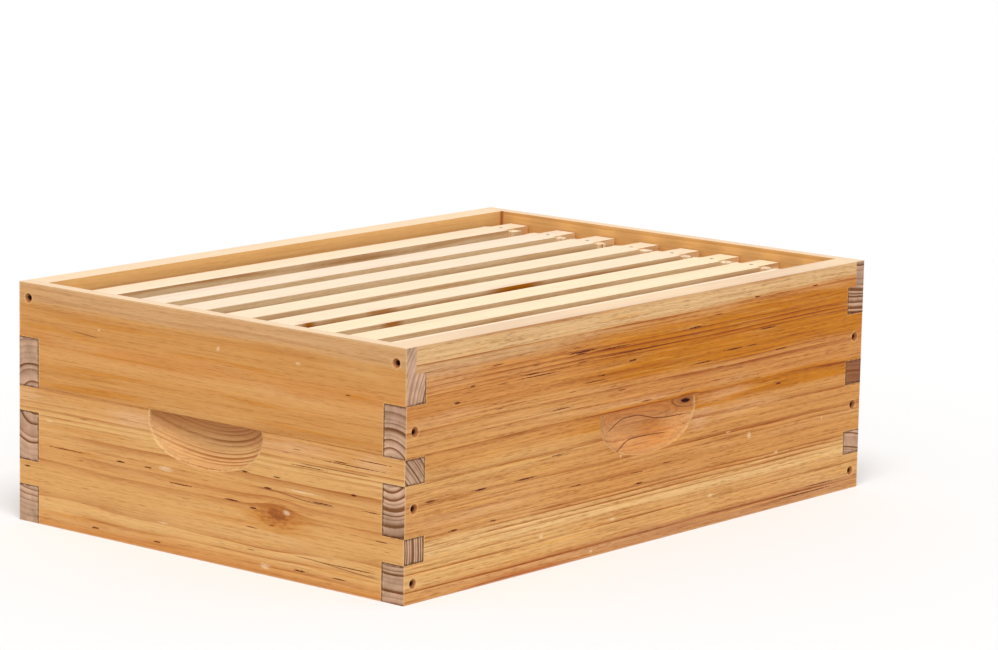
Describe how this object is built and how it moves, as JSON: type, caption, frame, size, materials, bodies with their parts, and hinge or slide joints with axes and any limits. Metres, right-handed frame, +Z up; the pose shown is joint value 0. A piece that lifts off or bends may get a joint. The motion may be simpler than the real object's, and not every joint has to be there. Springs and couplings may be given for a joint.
{
  "type": "langstroth hive box",
  "caption": "Finger-jointed wooden hive box with a handhold in each board and removable comb frames that hang on rabbets in its end boards.",
  "frame": {"origin": "centre of the box's underside, on the surface that it stands on", "axes": "+X along the box and its frames towards the rear end board, +Y across the row of frames towards the left side board, +Z up"},
  "size_m": [0.5048, 0.3556, 0.1683],
  "materials": {
    "board_wood": "wax-dipped pine, golden tan, satin",
    "frame_wood_planed": "planed pale pine, lightly waxed",
    "frame_wood": "planed pine, lightly waxed",
    "foundation_wax": "stiff sheet coated with beeswax",
    "box_nail_steel": "dull galvanised wire",
    "nail_steel": "dull galvanised wire"
  },
  "bodies": {
    "box": {"side_board_left": "board_wood", "side_board_right": "board_wood", "end_board_front": "board_wood", "end_board_rear": "board_wood", "nails_side_left": "box_nail_steel", "nails_side_right": "box_nail_steel", "nails_end_front": "box_nail_steel", "nails_end_rear": "box_nail_steel"},
    "frame_1": {"frame_1_top_bar": "frame_wood_planed", "frame_1_end_bar_front": "frame_wood", "frame_1_end_bar_rear": "frame_wood", "frame_1_bottom_bar": "frame_wood", "frame_1_foundation": "foundation_wax", "frame_1_nails": "nail_steel"},
    "frame_2": {"frame_2_top_bar": "frame_wood_planed", "frame_2_end_bar_front": "frame_wood", "frame_2_end_bar_rear": "frame_wood", "frame_2_bottom_bar": "frame_wood", "frame_2_foundation": "foundation_wax", "frame_2_nails": "nail_steel"},
    "frame_3": {"frame_3_top_bar": "frame_wood_planed", "frame_3_end_bar_front": "frame_wood", "frame_3_end_bar_rear": "frame_wood", "frame_3_bottom_bar": "frame_wood", "frame_3_foundation": "foundation_wax", "frame_3_nails": "nail_steel"},
    "frame_4": {"frame_4_top_bar": "frame_wood_planed", "frame_4_end_bar_front": "frame_wood", "frame_4_end_bar_rear": "frame_wood", "frame_4_bottom_bar": "frame_wood", "frame_4_foundation": "foundation_wax", "frame_4_nails": "nail_steel"},
    "frame_5": {"frame_5_top_bar": "frame_wood_planed", "frame_5_end_bar_front": "frame_wood", "frame_5_end_bar_rear": "frame_wood", "frame_5_bottom_bar": "frame_wood", "frame_5_foundation": "foundation_wax", "frame_5_nails": "nail_steel"},
    "frame_6": {"frame_6_top_bar": "frame_wood_planed", "frame_6_end_bar_front": "frame_wood", "frame_6_end_bar_rear": "frame_wood", "frame_6_bottom_bar": "frame_wood", "frame_6_foundation": "foundation_wax", "frame_6_nails": "nail_steel"},
    "frame_7": {"frame_7_top_bar": "frame_wood_planed", "frame_7_end_bar_front": "frame_wood", "frame_7_end_bar_rear": "frame_wood", "frame_7_bottom_bar": "frame_wood", "frame_7_foundation": "foundation_wax", "frame_7_nails": "nail_steel"},
    "frame_8": {"frame_8_top_bar": "frame_wood_planed", "frame_8_end_bar_front": "frame_wood", "frame_8_end_bar_rear": "frame_wood", "frame_8_bottom_bar": "frame_wood", "frame_8_foundation": "foundation_wax", "frame_8_nails": "nail_steel"}
  },
  "joints": [
    {"name": "frame_1_lift", "type": "slide", "parent": "box", "child": "frame_1", "axis": [0, 0, 1], "range_m": [0, 0.18]},
    {"name": "frame_2_lift", "type": "slide", "parent": "box", "child": "frame_2", "axis": [0, 0, 1], "range_m": [0, 0.18]},
    {"name": "frame_3_lift", "type": "slide", "parent": "box", "child": "frame_3", "axis": [0, 0, 1], "range_m": [0, 0.18]},
    {"name": "frame_4_lift", "type": "slide", "parent": "box", "child": "frame_4", "axis": [0, 0, 1], "range_m": [0, 0.18]},
    {"name": "frame_5_lift", "type": "slide", "parent": "box", "child": "frame_5", "axis": [0, 0, 1], "range_m": [0, 0.18]},
    {"name": "frame_6_lift", "type": "slide", "parent": "box", "child": "frame_6", "axis": [0, 0, 1], "range_m": [0, 0.18]},
    {"name": "frame_7_lift", "type": "slide", "parent": "box", "child": "frame_7", "axis": [0, 0, 1], "range_m": [0, 0.18]},
    {"name": "frame_8_lift", "type": "slide", "parent": "box", "child": "frame_8", "axis": [0, 0, 1], "range_m": [0, 0.18]}
  ]
}
